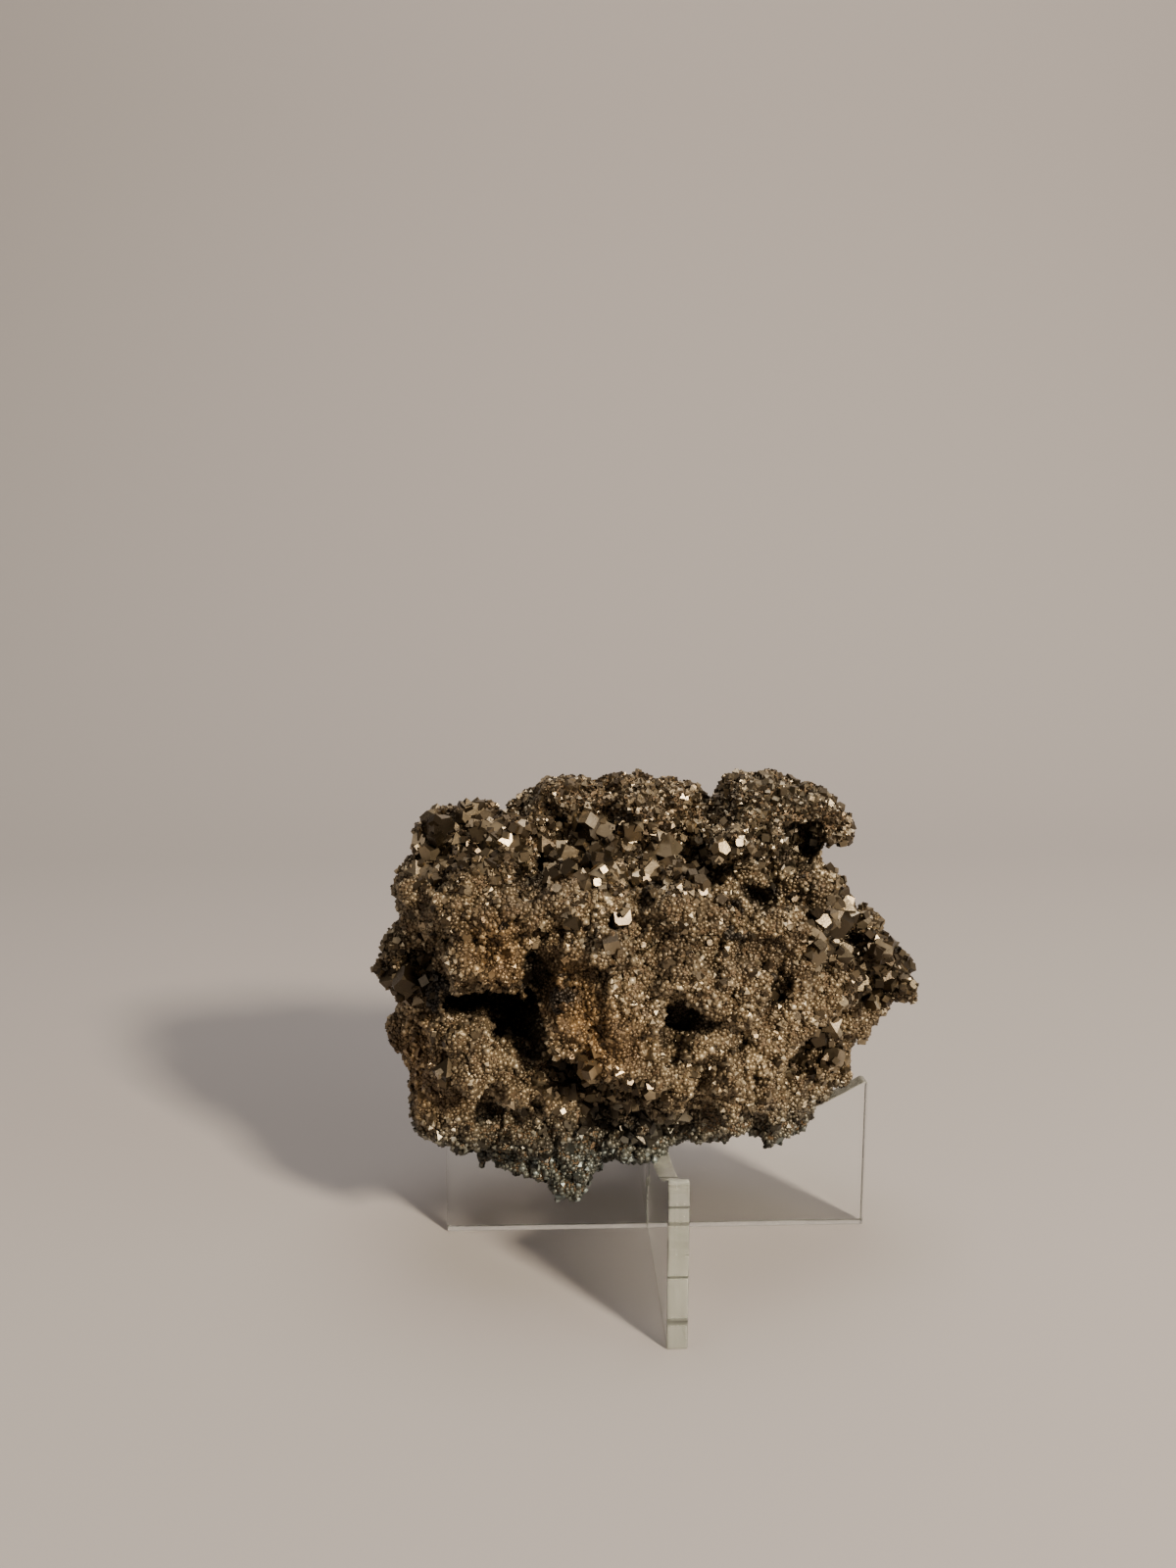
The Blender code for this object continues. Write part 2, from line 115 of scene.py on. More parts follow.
class Finish:
    """A material under construction, with its Principled shader ready."""

    PATCH_CORE = 0.3  # share of a patch's reach within which it is full
    PATCH_RAGGED = (0.4, 1.1)  # its strength where the cloud is thinnest, and what the thickest cloud adds
    PAINTED_PIT_SHADE = (0.008, 0.006, 0.004, 1.0)  # painted shade, nearly black, that darkens the pits and creases
    PAINTED_PIT_SHADE_SKY = (0.06, 0.62)  # share of open sky below and above which the painted shade is darkest and gone
    PAINTED_PIT_SHADE_MOST = 0.90

    def __init__(self, name, **fixed):
        self.material = bpy.data.materials.new(name)
        self.material.use_nodes = True
        self.nodes = self.material.node_tree.nodes
        self.links = self.material.node_tree.links
        self.shader = self.nodes["Principled BSDF"]
        for socket, value in fixed.items():
            self.shader.inputs[socket.replace("_", " ")].default_value = value

    def feed(self, socket, value):
        """Links a Value to a socket, or sets the socket to a plain number or colour."""
        if isinstance(value, Value):
            self.links.new(value.socket, socket)
        else:
            socket.default_value = value

    def add(self, kind, settings=None, sockets=None, out=0):
        """Adds a node: its settings first, then the values or links of its sockets."""
        node = self.nodes.new(kind)
        for name, value in (settings or {}).items():
            if name == "stops":
                self.set_stops(node.color_ramp, value)
            else:
                setattr(node, name, value)
        for name, value in (sockets or {}).items():
            self.feed(node.inputs[name], value)
        return Value(self, node.outputs[out])

    def set_stops(self, ramp, stops):
        """Gives a colour ramp its stops, as position and colour."""
        while len(ramp.elements) < len(stops):
            ramp.elements.new(1.0)
        for element, (position, colour) in zip(ramp.elements, stops):
            element.position = position
            element.color = colour

    def place(self):
        """Where on the piece the surface is, in metres."""
        return self.add("ShaderNodeTexCoord", out=3)

    def noise(self, size, detail=4.0, roughness=0.55):
        """Cloudy noise from 0 to 1 with features of about this size."""
        sockets = {"Vector": self.place(), "Scale": 1 / size, "Detail": detail, "Roughness": roughness}
        return self.add("ShaderNodeTexNoise", {}, sockets)

    def blend(self, factor, first, second):
        """Mixes two colours."""
        sockets = {0: factor, 6: first, 7: second}
        return self.add("ShaderNodeMix", {"data_type": "RGBA"}, sockets, out=2)

    def set(self, socket, value):
        """Feeds a socket of the shader."""
        self.feed(self.shader.inputs[socket], value)

    def patches(self, places, cloud):
        """How far the surface lies within any of some round patches, with ragged edges, from 0 to 1."""
        cover = 0.0
        for middle, reach in places:
            ends = {0: self.place(), 1: [c * MM for c in middle]}
            away = self.add("ShaderNodeVectorMath", {"operation": "DISTANCE"}, ends, out=1)
            fade = {0: away, 1: reach * MM, 2: self.PATCH_CORE * reach * MM, 3: 0.0, 4: 1.0}
            cover = self.add("ShaderNodeMapRange", {}, fade) + cover
        thin, added = self.PATCH_RAGGED
        return self.add("ShaderNodeClamp", {}, {0: cover * (thin + added * cloud)})

    def tinted(self, cover, colour, tint):
        """The colour, multiplied by a tint as far as the cover says."""
        sockets = {0: cover, 6: colour, 7: tint}
        return self.add("ShaderNodeMix", {"data_type": "RGBA", "blend_type": "MULTIPLY"}, sockets, out=2)

    def crinkle(self, size, depth, strength):
        """Roughens the shading with fine wrinkles of about this size."""
        wrinkles = self.noise(size, detail=3.0, roughness=0.6)
        bump = self.add("ShaderNodeBump", {}, {"Height": wrinkles, "Strength": strength, "Distance": depth})
        self.set("Normal", bump)

    def shaded(self, colour):
        """The colour, darkened by painted shade in the pits and creases, where little of the sky is open.
        """
        sky = self.add("ShaderNodeAttribute", {"attribute_name": "open"}, {}, out=2)
        shut, clear = self.PAINTED_PIT_SHADE_SKY
        fade = {0: sky, 1: shut, 2: clear, 3: 1.0 - self.PAINTED_PIT_SHADE_MOST, 4: 1.0}
        unshaded = self.add("ShaderNodeMapRange", {"clamp": True}, fade)
        return self.blend(unshaded, self.PAINTED_PIT_SHADE, colour)


PAPER = (0.345, 0.318, 0.305, 1.0)
SWEEP_WIDTH = 3.2  # in metres, as are its other sizes
SWEEP_FRONT = -1.2
SWEEP_BACK = 0.75
SWEEP_RADIUS = 0.45
SWEEP_TOP = 1.8
SWEEP_BEND_STEPS = 16
SWEEP_GAP = 0.05 * MM  # air between the paper and the plates' lower edges

profile = [(SWEEP_FRONT, -SWEEP_GAP)]
for step in range(SWEEP_BEND_STEPS + 1):
    angle = math.pi / 2 * step / SWEEP_BEND_STEPS
    back = SWEEP_BACK - SWEEP_RADIUS * (1 - math.sin(angle))
    profile.append((back, SWEEP_RADIUS * (1 - math.cos(angle)) - SWEEP_GAP))
profile.append((SWEEP_BACK, SWEEP_TOP))
sweep_bm = bmesh.new()
left, right = (
    [sweep_bm.verts.new((side * SWEEP_WIDTH / 2, y, z)) for y, z in profile] for side in (-1, 1)
)
for i in range(len(profile) - 1):
    sweep_bm.faces.new((left[i], right[i], right[i + 1], left[i + 1]))
sweep = new_object("paper_sweep", sweep_bm)
sweep.data.shade_smooth()
paper = Finish("paper", Roughness=0.85, Base_Color=PAPER, Specular_IOR_Level=0.2)
sweep.data.materials.append(paper.material)


ROCK_MIDDLE = Vector((0.0, 0.0, 0.045))
DAYLIGHT = (0.80, 0.74, 0.71, 1.0)
DAYLIGHT_STRENGTH = 0.19


def panel(name, place, size, watts, colour):
    """A square soft light that faces the rock."""
    light = bpy.data.lights.new(name, "AREA")
    light.size = size
    light.energy = watts
    light.color = colour
    lamp = bpy.data.objects.new(name, light)
    lamp.location = place
    lamp.rotation_euler = (ROCK_MIDDLE - Vector(place)).to_track_quat("-Z", "Y").to_euler()
    bpy.context.scene.collection.objects.link(lamp)


panel("key", place=(0.58, -0.76, 0.60), size=0.13, watts=28.0, colour=(1.0, 0.86, 0.67))
panel("fill_right", place=(0.95, -0.45, 0.45), size=0.60, watts=3.5, colour=(0.93, 0.95, 1.0))
panel("fill_left", place=(-0.85, -0.60, 0.35), size=0.50, watts=2.0, colour=(1.0, 0.93, 0.88))
panel("top", place=(0.05, 0.15, 1.20), size=0.70, watts=8.0, colour=(1.0, 0.96, 0.92))
world = bpy.data.worlds.new("studio")
world.use_nodes = True
backdrop = world.node_tree.nodes["Background"].inputs
backdrop["Color"].default_value = DAYLIGHT
backdrop["Strength"].default_value = DAYLIGHT_STRENGTH
bpy.context.scene.world = world


# ---- The stand's plates ----
# Two pieces of clear cast acrylic sheet, laser-cut to the same outline and pushed together at their slots.
# The faces are polished sheet. The cut edges are a little matt, with fine lines left across them.

ACRYLIC_IOR = 1.49
ACRYLIC = (0.985, 0.995, 0.99, 1.0)
SHEET_ROUGHNESS = 0.01
SCUFF_SIZE = 14 * MM
SCUFF_ROUGHNESS = 0.05  # what the worst scuffs add
EDGE_CLARITY = 0.75  # share of the light that a matt cut edge lets through
EDGE_PALE = (0.84, 0.85, 0.75, 1.0)
EDGE_DULL = (0.42, 0.43, 0.36, 1.0)
EDGE_DARK = (0.10, 0.11, 0.09, 1.0)
EDGE_LINES = (  # height and reach of the dark lines, in millimetres
    (22.8, 0.3),
    (20.2, 0.45),
    (11.7, 0.3),
    (4.5, 0.8),
)
EDGE_LINE_WEIGHT = 2.2
EDGE_MARK = 1.2 * MM  # usual distance between the faint lines that lie among them
EDGE_MARK_SCALE = (0.05, 0.05, 1)  # draws them out level
EDGE_MARK_RANGE = (0.60, 0.75)  # levels of the pattern at which they start and are full
EDGE_MARK_WEIGHT = 0.5
EDGE_MARK_DEPTH = 0.05 * MM
EDGE_STREAK = 0.5 * MM  # width of the faint upright streaks
EDGE_STREAK_SCALE = (1, 1, 0.04)  # draws them out upright
EDGE_ROUGHNESS = 0.08
EDGE_STREAK_ROUGHNESS = 0.25  # what a streak adds
EDGE_DARK_ROUGHNESS = 0.2  # and what a dark line adds
EDGE_EASING = 0.25 * MM
EDGE_CREASE = math.radians(40)  # edges sharper than this are eased
FLAT_WITHIN = math.radians(0.5)  # triangles this close to level with each other are one face


def merged_mesh(node):
    """A bmesh of a node of the frame, with its loose triangles joined up."""
    bm = bmesh.new()
    bm.from_mesh(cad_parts[node].data)
    bmesh.ops.remove_doubles(bm, verts=bm.verts, dist=0.001 * MM)
    return bm


def take_evaluated(obj):
    """Replaces the object's mesh with its evaluated form and drops its modifiers."""
    graph = bpy.context.evaluated_depsgraph_get()
    mesh = bpy.data.meshes.new_from_object(obj.evaluated_get(graph))
    obj.modifiers.clear()
    obj.data = mesh


sheet = Finish("acrylic_sheet", Base_Color=ACRYLIC, IOR=ACRYLIC_IOR, Transmission_Weight=1.0)
scuffs = sheet.noise(SCUFF_SIZE, detail=8.0, roughness=0.7)
sheet.set("Roughness", SHEET_ROUGHNESS + SCUFF_ROUGHNESS * scuffs ** 3)

cut_edge = Finish("acrylic_cut_edge", IOR=ACRYLIC_IOR, Transmission_Weight=EDGE_CLARITY)
level = cut_edge.add("ShaderNodeMapping", {}, {"Vector": cut_edge.place(), "Scale": EDGE_MARK_SCALE})
mark_sockets = {"Vector": level, "Scale": 1 / EDGE_MARK, "Detail": 3.0, "Roughness": 0.7}
marks = cut_edge.add("ShaderNodeTexNoise", {}, mark_sockets)
upright = cut_edge.add("ShaderNodeMapping", {}, {"Vector": cut_edge.place(), "Scale": EDGE_STREAK_SCALE})
streak_sockets = {"Vector": upright, "Scale": 1 / EDGE_STREAK, "Detail": 2.0}
streaks = cut_edge.add("ShaderNodeTexNoise", {}, streak_sockets)
edge_height = cut_edge.add("ShaderNodeSeparateXYZ", {}, {0: cut_edge.place()}, out=2)
start, full = EDGE_MARK_RANGE
dark = cut_edge.add("ShaderNodeMapRange", {}, {0: marks, 1: start, 2: full, 3: 0.0, 4: EDGE_MARK_WEIGHT})
for line_height, line_reach in EDGE_LINES:
    away = cut_edge.add("ShaderNodeMath", {"operation": "ABSOLUTE"}, {0: edge_height - line_height * MM})
    fade = {0: away, 1: line_reach * MM, 2: 0.0, 3: 0.0, 4: EDGE_LINE_WEIGHT}
    dark = dark + cut_edge.add("ShaderNodeMapRange", {}, fade) * marks
dark = cut_edge.add("ShaderNodeClamp", {}, {0: dark})
bare_edge = cut_edge.blend(streaks, EDGE_DULL, EDGE_PALE)
cut_edge.set("Base Color", cut_edge.blend(dark, bare_edge, EDGE_DARK))
cut_edge.set("Roughness", EDGE_ROUGHNESS + EDGE_STREAK_ROUGHNESS * streaks + EDGE_DARK_ROUGHNESS * dark)
dents = {"Height": marks, "Strength": 0.4, "Distance": EDGE_MARK_DEPTH}
cut_edge.set("Normal", cut_edge.add("ShaderNodeBump", {}, dents))


def dress_plate(node, across):
    """A plate with eased edges. The faces whose normal lies along axis `across` are polished sheet."""
    bm = merged_mesh(node)
    bmesh.ops.dissolve_limit(bm, angle_limit=FLAT_WITHIN, verts=bm.verts, edges=bm.edges)
    sharp = [edge for edge in bm.edges if edge.calc_face_angle(0.0) > EDGE_CREASE]
    bmesh.ops.bevel(
        bm, geom=sharp, offset=EDGE_EASING, segments=2, affect="EDGES", profile=0.5, clamp_overlap=True
    )
    for face in bm.faces:
        polished = abs(face.normal[across]) > 0.9
        face.material_index = 0 if polished else 1
    bmesh.ops.triangulate(bm, faces=bm.faces)
    plate = new_object(node + "_clear", bm)
    plate.data.materials.append(sheet.material)
    plate.data.materials.append(cut_edge.material)
    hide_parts(node)
    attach(plate, "root")


dress_plate("stand_cross_plate", across=1)
dress_plate("stand_depth_plate", across=0)


# ---- The rock's crust ----
# The stony ground that the crystals grew from: dull brown-black pyrite with rusty stains, lumpy down to a
# millimetre. The crystals' tips reach the surface of the solid, so the crust lies a little under it.

CRUST_DEPTH = 0.35 * MM
CRUST_VOXEL = 0.62 * MM
CRUST_SMOOTHING = 1
CREASE_DEPTH = 0.7 * MM  # how much deeper the crust lies, times the share of open sky that it lacks
CRUST_WARP = 0.8 * MM  # how far the crust is pushed sideways, so that the pits turn ragged
CRUST_WARP_SIZE = 4.0 * MM
CRUST_WARP_SEED = 3
CRUST_KNOBS = ((6.2 * MM, 2.0 * MM), (3.1 * MM, 1.3 * MM), (1.6 * MM, 0.5 * MM))  # spacing and height
CREVICE_SIZE = 6.0 * MM  # length of the bends in the crevices
CREVICE_REACH = 0.10  # how wide they are, beside their bends
CREVICE_DEPTH = 1.8 * MM
CREVICE_SHIFT = Vector((0.3, 0.1, 0.2))  # keeps the pattern that breaks them up apart from their own
CREVICE_COVER = 0.35  # raises the share of the crevices that stay unbroken
CREVICE_ENDS = 2.0  # how sharply they break off
KNOB_TOP = 0.33  # height of a knob's top over the plain crust, beside its full height
KNOB_CURVE = 1.5  # how steeply it falls away to its creases


def crust_height(point):
    """How far the crust stands out at a point: small round knobs with creases between them, and crevices
    that wander among them and break off."""
    fold = abs(noise.noise(point / CREVICE_SIZE))
    breaks = noise.noise(point / CREVICE_SIZE + CREVICE_SHIFT / MM)
    whole = min(1.0, max(0.0, CREVICE_COVER + CREVICE_ENDS * breaks))
    height = -CREVICE_DEPTH * whole * max(0.0, 1.0 - fold / CREVICE_REACH)
    for spacing, rise in CRUST_KNOBS:
        off_centre = noise.voronoi(point / spacing)[0][0]
        height += rise * (KNOB_TOP - KNOB_CURVE * off_centre ** 2)
    return height


crust = new_object("pyrite_crust", merged_mesh("pyrite_cluster"))
crust_skin = crust.modifiers.new("Skin", "REMESH")
crust_skin.mode = "VOXEL"
crust_skin.voxel_size = CRUST_VOXEL
crust_soften = crust.modifiers.new("Soften", "SMOOTH")
crust_soften.iterations = CRUST_SMOOTHING
take_evaluated(crust)

SKY_REACH = 9 * MM
SKY_LIFT = 0.15  # how far over the surface the rays start, in millimetres
SKY_SEED = 1
SKY_RAY_COUNT = 24
SHUT_IN = 0.8  # share of open sky under which the crust sinks

sky = random.Random(SKY_SEED)
sky_rays = [Vector([sky.gauss(0, 1) for _ in range(3)]).normalized() for _ in range(SKY_RAY_COUNT)]


def surface_tree(mesh):
    """A search tree of the mesh's surface."""
    return BVHTree.FromPolygons([v.co for v in mesh.vertices], [p.vertices for p in mesh.polygons])


def openness(mesh):
    """For each vertex, the share of the sky over it that nothing within reach blocks."""
    tree = surface_tree(mesh)
    shares = []
    for vert in mesh.vertices:
        start = vert.co + vert.normal * SKY_LIFT * MM
        free = 0
        for ray in sky_rays:
            aim = ray if ray.dot(vert.normal) > 0 else -ray
            if tree.ray_cast(start, aim, SKY_REACH)[0] is None:
                free += 1
        shares.append(free / SKY_RAY_COUNT)
    return shares


noise.seed_set(CRUST_WARP_SEED)
crust_places = []
for vert, share in zip(crust.data.vertices, openness(crust.data)):
    height = crust_height(vert.co) - CRUST_DEPTH - CREASE_DEPTH * max(0.0, SHUT_IN - share)
    warp = CRUST_WARP * noise.noise_vector(vert.co / CRUST_WARP_SIZE)
    crust_places.append(vert.co + vert.normal * height + warp)
for vert, place in zip(crust.data.vertices, crust_places):
    vert.co = place
crust.data.update()
# The share of open sky at each vertex sets the painted shade in the pits and creases.
open_layer = crust.data.attributes.new("open", "FLOAT", "POINT")
open_layer.data.foreach_set("value", openness(crust.data))

STAIN_SIZE = 9 * MM
STAIN = (0.10, 0.062, 0.030, 1.0)
STONE_ROUGHNESS = 0.38
FLECK_SIZE = 0.9 * MM
FLECK_ROUGHNESS = 0.3  # what a pale fleck adds
FLECK_STOPS = (
    (0.35, (0.045, 0.029, 0.015, 1)),
    (0.55, (0.12, 0.079, 0.040, 1)),
    (0.75, (0.20, 0.135, 0.070, 1)),
)

stone = Finish("pyrite_crust", Metallic=0.5)
stain = stone.noise(STAIN_SIZE)
fleck = stone.noise(FLECK_SIZE, detail=6.0, roughness=0.7)
flecked = stone.add("ShaderNodeValToRGB", {"stops": FLECK_STOPS}, {"Fac": fleck})
# The crust's colour gets painted shade in its pits and creases.
stone.set("Base Color", stone.shaded(stone.blend(stain, flecked, STAIN)))
stone.set("Roughness", STONE_ROUGHNESS + FLECK_ROUGHNESS * fleck)
stone.crinkle(size=0.6 * MM, depth=0.3 * MM, strength=0.9)
crust.data.materials.clear()
crust.data.materials.append(stone.material)
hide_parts("pyrite_cluster")
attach(crust, "root")


# ---- The large crystals ----
# Solid pyrite crystals of 2 to 6 mm that stand out of the crust: cubes, cubes with cut corners, octahedra
# and pyritohedra, most with smaller ones grown through them. Their faces are flat and glossy, bronze to
# nearly black. Small single crystals with a face turned to the light are set among them.

LARGE_CRYSTALS = (  # form, x and z of its middle as seen from the front, half size, in millimetres
    # ledge under the knobs
    ("octahedron", 0.4, 69.9, 2.2),
    ("cut cube", -11.5, 73.5, 1.9),
    ("pyritohedron", -10.5, 69.5, 1.6),
    ("cube", -6.0, 71.0, 1.3),
    ("pyritohedron", 4.5, 67.5, 1.3),
    ("octahedron", -19.5, 70.5, 1.4),
    ("cube", -15.5, 69.0, 1.2),
    # upper left edge
    ("cut cube", -32.0, 75.0, 1.8),
    ("cut cube", -37.0, 73.0, 1.8),
    ("pyritohedron", -38.5, 69.0, 1.6),
    ("cube", -34.5, 69.5, 1.4),
    ("cube", -28.0, 71.0, 1.3),
    ("pyritohedron", -24.0, 69.0, 1.3),
    # brow
    ("pyritohedron", -11.0, 64.5, 1.3),
    ("cube", -9.5, 60.0, 1.2),
    ("octahedron", -15.0, 62.5, 1.3),
    # band across the right
    ("pyritohedron", 25.0, 59.0, 1.6),
    ("cut cube", 28.5, 58.5, 1.9),
    ("cube", 23.0, 55.0, 1.4),
    ("octahedron", 29.5, 52.5, 1.4),
    ("cube", 17.5, 47.5, 1.1),
    # right point
    ("cut cube", 37.0, 52.5, 1.4),
    ("pyritohedron", 41.0, 49.5, 1.4),
    ("cube", 34.5, 45.0, 1.3),
    # lower right hollow
    ("pyritohedron", 26.0, 38.5, 1.8),
    # left side and low on the front
    ("cut cube", -42.0, 49.5, 1.6),
    ("octahedron", -35.0, 37.5, 1.6),
    ("cube", -12.5, 39.0, 1.4),
    ("octahedron", -7.5, 36.0, 1.4),
)
LEDGE_TIP = (0.4, 69.9)  # x and z of the crystal painted palest, as if lit, which stands out of the ledge, tip up
LEDGE_WAY = (0.12, -0.35, 0.93)
LEDGE_PROUD = 1.0  # how far its middle stands out of the crust, in half sizes
LEDGE_PAINTED_PALE_TONE = 0.9
LEDGE_PAINTED_FACE_LIGHT = (1.0, 0.7)  # painted light and shade on its faces: for those that look left, and for the others
GLINTS = (  # x and z from the front, half size, in millimetres: crystals with a face turned to the light
    (-7.9, 62.5, 1.35),
    (-11.5, 67.6, 0.6),
    (-31.8, 70.8, 0.6),
    (-18.5, 69.2, 0.5),
    (-19.8, 73.0, 0.45),
    (4.8, 66.2, 0.7),
    (11.0, 72.8, 0.6),
    (-4.5, 58.4, 0.4),
    (-10.4, 55.6, 0.5),
    (-25.2, 52.0, 0.45),
    (-37.6, 47.5, 0.5),
    (-35.4, 57.2, 0.4),
    (-21.6, 56.8, 0.4),
    (6.0, 57.9, 0.45),
    (20.5, 45.0, 0.6),
    (-3.5, 36.5, 0.6),
    (34.8, 53.0, 0.6),
    (-36.0, 33.0, 0.6),
    (-7.0, 24.6, 0.5),
)
GLINT_WAY = (0.26, -0.88, 0.40)  # half way between the key light and the front
GLINT_SWING = 0.10  # how far most of them look past it
GLINT_PROUD = 0.5  # how far their middles stand out of the crust, in half sizes
GLINT_TONE = 0.35
LARGE_TONES = (0.3, 0.7)
LARGE_SEED = 11
CLUSTER_TWINS = 4  # smaller crystals grown through each large one
TWIN_SIZES = (0.3, 0.6)  # beside the crystal they grow from
TWIN_SPOTS = (0.6, 0.9)  # how far along each axis they lie
LARGE_SUNK = 0.5  # how far the middle lies behind the crust, in half sizes


def habit_points(habit):
    """Corners of a crystal form of half size 1."""
    signs = list(itertools.product((-1, 1), repeat=3))
    corners = {
        "cube": [(1, 1, 1)],
        "cut cube": [(1, 1, 0.6), (1, 0.6, 1), (0.6, 1, 1)],
        "octahedron": [(1.5, 0, 0), (0, 1.5, 0), (0, 0, 1.5)],
        "pyritohedron": [(0.8, 0.8, 0.8), (0, 1.2, 0.6), (0.6, 0, 1.2), (1.2, 0.6, 0)],
    }[habit]
    return sorted({tuple(c * s for c, s in zip(corner, sign)) for corner in corners for sign in signs})


def add_crystal(bm, habit, place, shades):
    """Adds the hull of the form's corners, moved by the matrix `place`, with a shade for each face."""
    facet = bm.faces.layers.float["facet"]
    verts = [bm.verts.new(place @ Vector(point)) for point in habit_points(habit)]
    bmesh.ops.convex_hull(bm, input=verts)
    edges = dict.fromkeys(edge for vert in verts for edge in vert.link_edges)
    bmesh.ops.dissolve_limit(bm, angle_limit=math.radians(1), verts=verts, edges=list(edges))
    for face in dict.fromkeys(face for vert in verts for face in vert.link_faces):
        face[facet] = shades.random()
    return verts


def add_cluster(bm, habit, place, shades):
    """Adds a crystal with smaller ones grown through its corners, or through its edges if it is an
    octahedron."""
    verts = add_crystal(bm, habit, place, shades)
    for _ in range(CLUSTER_TWINS):
        spot = [shades.choice((-1, 1)) * shades.uniform(*TWIN_SPOTS) for _ in range(3)]
        if habit == "octahedron":
            spot[shades.randrange(3)] = 0.0
        size = shades.uniform(*TWIN_SIZES)
        turn = Euler([shades.uniform(0, math.tau) for _ in range(3)])
        twin = Matrix.LocRotScale(Vector(spot), turn, Vector((size, size, size)))
        verts += add_crystal(bm, shades.choice(("cube", "octahedron")), place @ twin, shades)
    return verts


def seen_from_front(x, z):
    """Where a line from the front at x, z in millimetres meets the crust."""
    return crust_tree.ray_cast(Vector((x, -80, z)) * MM, Vector((0, 1, 0)))[0]


turns = random.Random(LARGE_SEED)
shades = random.Random(LARGE_SEED)
crust_tree = surface_tree(crust.data)
large_bm = bmesh.new()
tone_layer = large_bm.verts.layers.float.new("tone")
# share of open sky, which sets the painted pit shade; it is full on these crystals, so they get none
open_verts = large_bm.verts.layers.float.new("open")
facet_layer = large_bm.faces.layers.float.new("facet")
large_places = []
for habit, x, z, half_size in LARGE_CRYSTALS:
    hit = seen_from_front(x, z)
    turn = Euler([turns.uniform(0, math.tau) for _ in range(3)])
    if hit is not None:
        size = half_size * MM
        centre = hit + Vector((0, LARGE_SUNK * size, 0))
        large_places.append((centre, size))
        tone = shades.uniform(*LARGE_TONES)
        add = add_cluster
        on_ledge = (x, z) == LEDGE_TIP
        if on_ledge:
            centre = hit - Vector((0, LEDGE_PROUD * size, 0))
            turn = Vector(LEDGE_WAY).to_track_quat("Z", "Y")
            tone = LEDGE_PAINTED_PALE_TONE
            add = add_crystal
        place = Matrix.LocRotScale(centre, turn, Vector((size, size, size)))
        for vert in add(large_bm, habit, place, shades):
            vert[tone_layer] = tone
            vert[open_verts] = 1.0
            # The ledge crystal's faces that look left are painted lighter, as lit.
            if on_ledge:
                for face in vert.link_faces:
                    looks_right = face.calc_center_median().x > centre.x
                    face[facet_layer] = LEDGE_PAINTED_FACE_LIGHT[looks_right]
for x, z, half_size in GLINTS:
    hit = seen_from_front(x, z)
    if hit is not None:
        size = half_size * MM
        centre = hit - Vector((0, GLINT_PROUD * size, 0))
        large_places.append((centre, size))
        swing = 0.0 if half_size > 1 else GLINT_SWING
        way = Vector([part + shades.uniform(-swing, swing) for part in GLINT_WAY])
        place = Matrix.LocRotScale(centre, way.to_track_quat("Z", "X"), Vector((size, size, size)))
        for vert in add_crystal(large_bm, "cut cube", place, shades):
            vert[tone_layer] = GLINT_TONE
            vert[open_verts] = 1.0
bmesh.ops.recalc_face_normals(large_bm, faces=large_bm.faces)
large = new_object("pyrite_large_crystals", large_bm)


RUSTY_PLACES = (  # middle and reach, in millimetres, of the stains on the rib and round the left side
    ((-17, -24, 51), 9),
    ((-27, -24, 58), 8),
    ((-39, -10, 34), 13),
    ((-10, -24, 44), 8),
)
PAINTED_SHADE_PLACES = (  # and of the painted shade over the upper left, the left side, the far right and low down
    ((-30, -16, 66), 14),
    ((-36, -6, 73), 9),
    ((-40, -8, 54), 11),
    ((-26, -20, 54), 7),
    ((36, -4, 46), 10),
    ((24, -10, 62), 7),
    ((22, -12, 34), 7),
    ((-38, -10, 30), 9),
    ((-12, -18, 32), 9),
    ((-26, -16, 22), 9),
)
GREY_PLACES = (  # and of the cleaner, greyer pyrite on the third knob, the point and the right band
    ((19, -6, 76), 15),
    ((40, 0, 48), 12),
    ((26, -8, 57), 10),
)
PAINTED_SHADE_TINT = (0.68, 0.65, 0.60, 1.0)
RUSTY_TINT = (1.12, 0.94, 0.72, 1.0)
GREY_TINT = (0.84, 0.88, 0.93, 1.0)
PAINTED_UNDERSIDE_SHADE = (0.42, 0.58, 0.82, 1.0)  # painted shade, cold and dark, on the underside
BELOW_START = 32 * MM  # height where it starts, going down
BELOW_FULL = 20 * MM  # and where it is full
TARNISH = (0.052, 0.035, 0.020, 1.0)
CLOUD_SIZE = 7 * MM
CLOUD_RANGE = (0.40, 0.66)  # levels of the cloud at which the tarnish starts and is full
GLOSS_SIZE = 1.5 * MM  # size of the spots that differ in gloss
FACET_CONTRAST = 1.0  # how much the faces of one crystal differ, beside the crystals themselves


